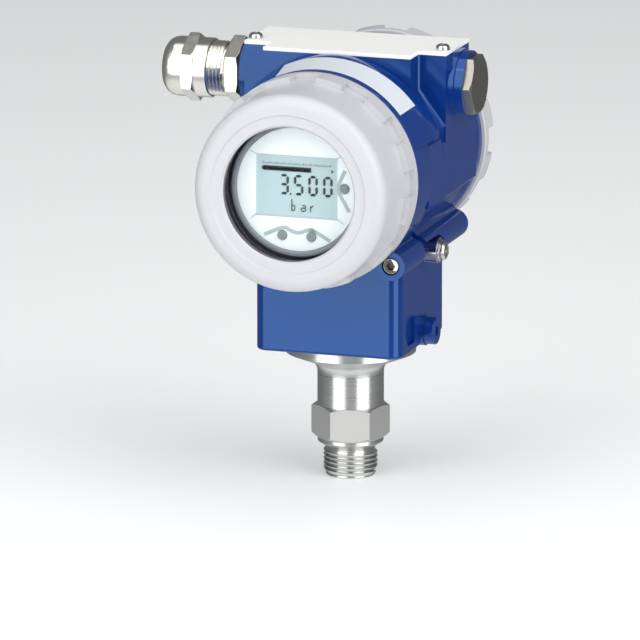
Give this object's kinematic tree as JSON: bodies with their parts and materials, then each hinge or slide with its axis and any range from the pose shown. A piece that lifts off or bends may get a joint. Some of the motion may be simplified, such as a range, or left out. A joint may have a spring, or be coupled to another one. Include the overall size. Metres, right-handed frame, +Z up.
{
  "type": "pressure transmitter",
  "caption": "Two-chamber process pressure transmitter with round window cover, display, keys, cable gland and threaded process connection",
  "frame": {"origin": "on the axis of the process thread, where its full wall begins above the end chamfer", "axes": "+Z up along the thread and neck, display and window face -Y, cable gland on the -X side"},
  "size_m": [0.1291, 0.1405, 0.1766],
  "materials": {
    "blue_paint": "gloss",
    "grey_paint": "satin",
    "stainless": "turned",
    "cell_steel": "satin",
    "nickel": "polished",
    "rubber": "matte",
    "glass": "clear",
    "aluminium": "satin",
    "white_plastic": "satin",
    "grey_plastic": "matte",
    "dark_plastic": "matte",
    "circuit_board": "satin",
    "lcd": "gloss"
  },
  "bodies": {
    "process_connection": {"process_connection": "stainless", "sensor_capsule": "cell_steel", "neck_oring": "rubber"},
    "housing": {"housing": "blue_paint", "top_plate": "grey_paint", "plate_screw_left": "stainless", "plate_screw_right": "stainless", "front_lock_screw": "stainless", "rear_lock_screw": "stainless", "neck_lock_screw": "blue_paint", "earth_clamp": "stainless", "earth_washer": "stainless", "earth_screw": "stainless", "blind_plug": "stainless", "plug_seal": "rubber", "electronics_module": "dark_plastic", "main_board": "circuit_board", "feedthrough": "dark_plastic", "terminal_block": "dark_plastic", "terminal_screw_1": "stainless", "terminal_screw_2": "stainless", "terminal_screw_3": "stainless", "terminal_screw_4": "stainless", "gland_body": "nickel", "gland_oring": "rubber"},
    "display": {"display_housing": "dark_plastic", "display_board": "circuit_board", "lcd_panel": "lcd", "display_faceplate": "white_plastic"},
    "button_left": {"button_left": "grey_plastic"},
    "button_right": {"button_right": "grey_plastic"},
    "button_side": {"button_side": "grey_plastic"},
    "front_cover_seal": {"front_cover_oring": "rubber"},
    "front_cover": {"front_cover": "grey_paint", "window_glass": "glass", "glass_gasket": "rubber", "glass_retaining_ring": "aluminium"},
    "rear_cover_seal": {"rear_cover_oring": "rubber"},
    "rear_cover": {"rear_cover": "grey_paint"},
    "gland_seal": {"gland_insert": "grey_plastic", "gland_seal": "rubber"},
    "gland_nut": {"gland_dome_nut": "nickel"}
  },
  "joints": [
    {"name": "neck_swivel", "type": "hinge", "parent": "process_connection", "child": "housing", "pos_m": [0, 0, 0.0643], "axis": [0, 0, 1], "range_deg": [-165, 165]},
    {"name": "front_cover_travel", "type": "slide", "parent": "housing", "child": "front_cover_seal", "axis": [0, -1, 0], "range_m": [0, 0.01001]},
    {"name": "front_cover_turn", "type": "hinge", "parent": "front_cover_seal", "child": "front_cover", "pos_m": [0, 0, 0.1281], "axis": [0, -1, 0], "range_deg": [0, 1800]},
    {"name": "rear_cover_travel", "type": "slide", "parent": "housing", "child": "rear_cover_seal", "axis": [0, 1, 0], "range_m": [0, 0.01001]},
    {"name": "rear_cover_turn", "type": "hinge", "parent": "rear_cover_seal", "child": "rear_cover", "pos_m": [0, 0, 0.1281], "axis": [0, 1, 0], "range_deg": [0, 1800]},
    {"name": "gland_nut_travel", "type": "slide", "parent": "housing", "child": "gland_seal", "axis": [-1, 0, 0], "range_m": [-0.00451, 0.00301]},
    {"name": "gland_nut_turn", "type": "hinge", "parent": "gland_seal", "child": "gland_nut", "pos_m": [-0.07, 0.007, 0.1582], "axis": [-1, 0, 0], "range_deg": [-1080, 720]},
    {"name": "display_turn", "type": "hinge", "parent": "housing", "child": "display", "pos_m": [0, 0, 0.1281], "axis": [0, -1, 0], "range_deg": [-180, 180]},
    {"name": "button_left_press", "type": "slide", "parent": "display", "child": "button_left", "axis": [0, 1, 0], "range_m": [0, 0.0006], "stiffness_N_per_m": 600},
    {"name": "button_right_press", "type": "slide", "parent": "display", "child": "button_right", "axis": [0, 1, 0], "range_m": [0, 0.0006], "stiffness_N_per_m": 600},
    {"name": "button_side_press", "type": "slide", "parent": "display", "child": "button_side", "axis": [0, 1, 0], "range_m": [0, 0.0006], "stiffness_N_per_m": 600}
  ],
  "couplings": [
    {"joint": "front_cover_travel", "follows": "front_cover_turn", "m_per_rad": 0.00031831},
    {"joint": "rear_cover_travel", "follows": "rear_cover_turn", "m_per_rad": 0.00031831},
    {"joint": "gland_nut_travel", "follows": "gland_nut_turn", "m_per_rad": 0.00023873}
  ]
}
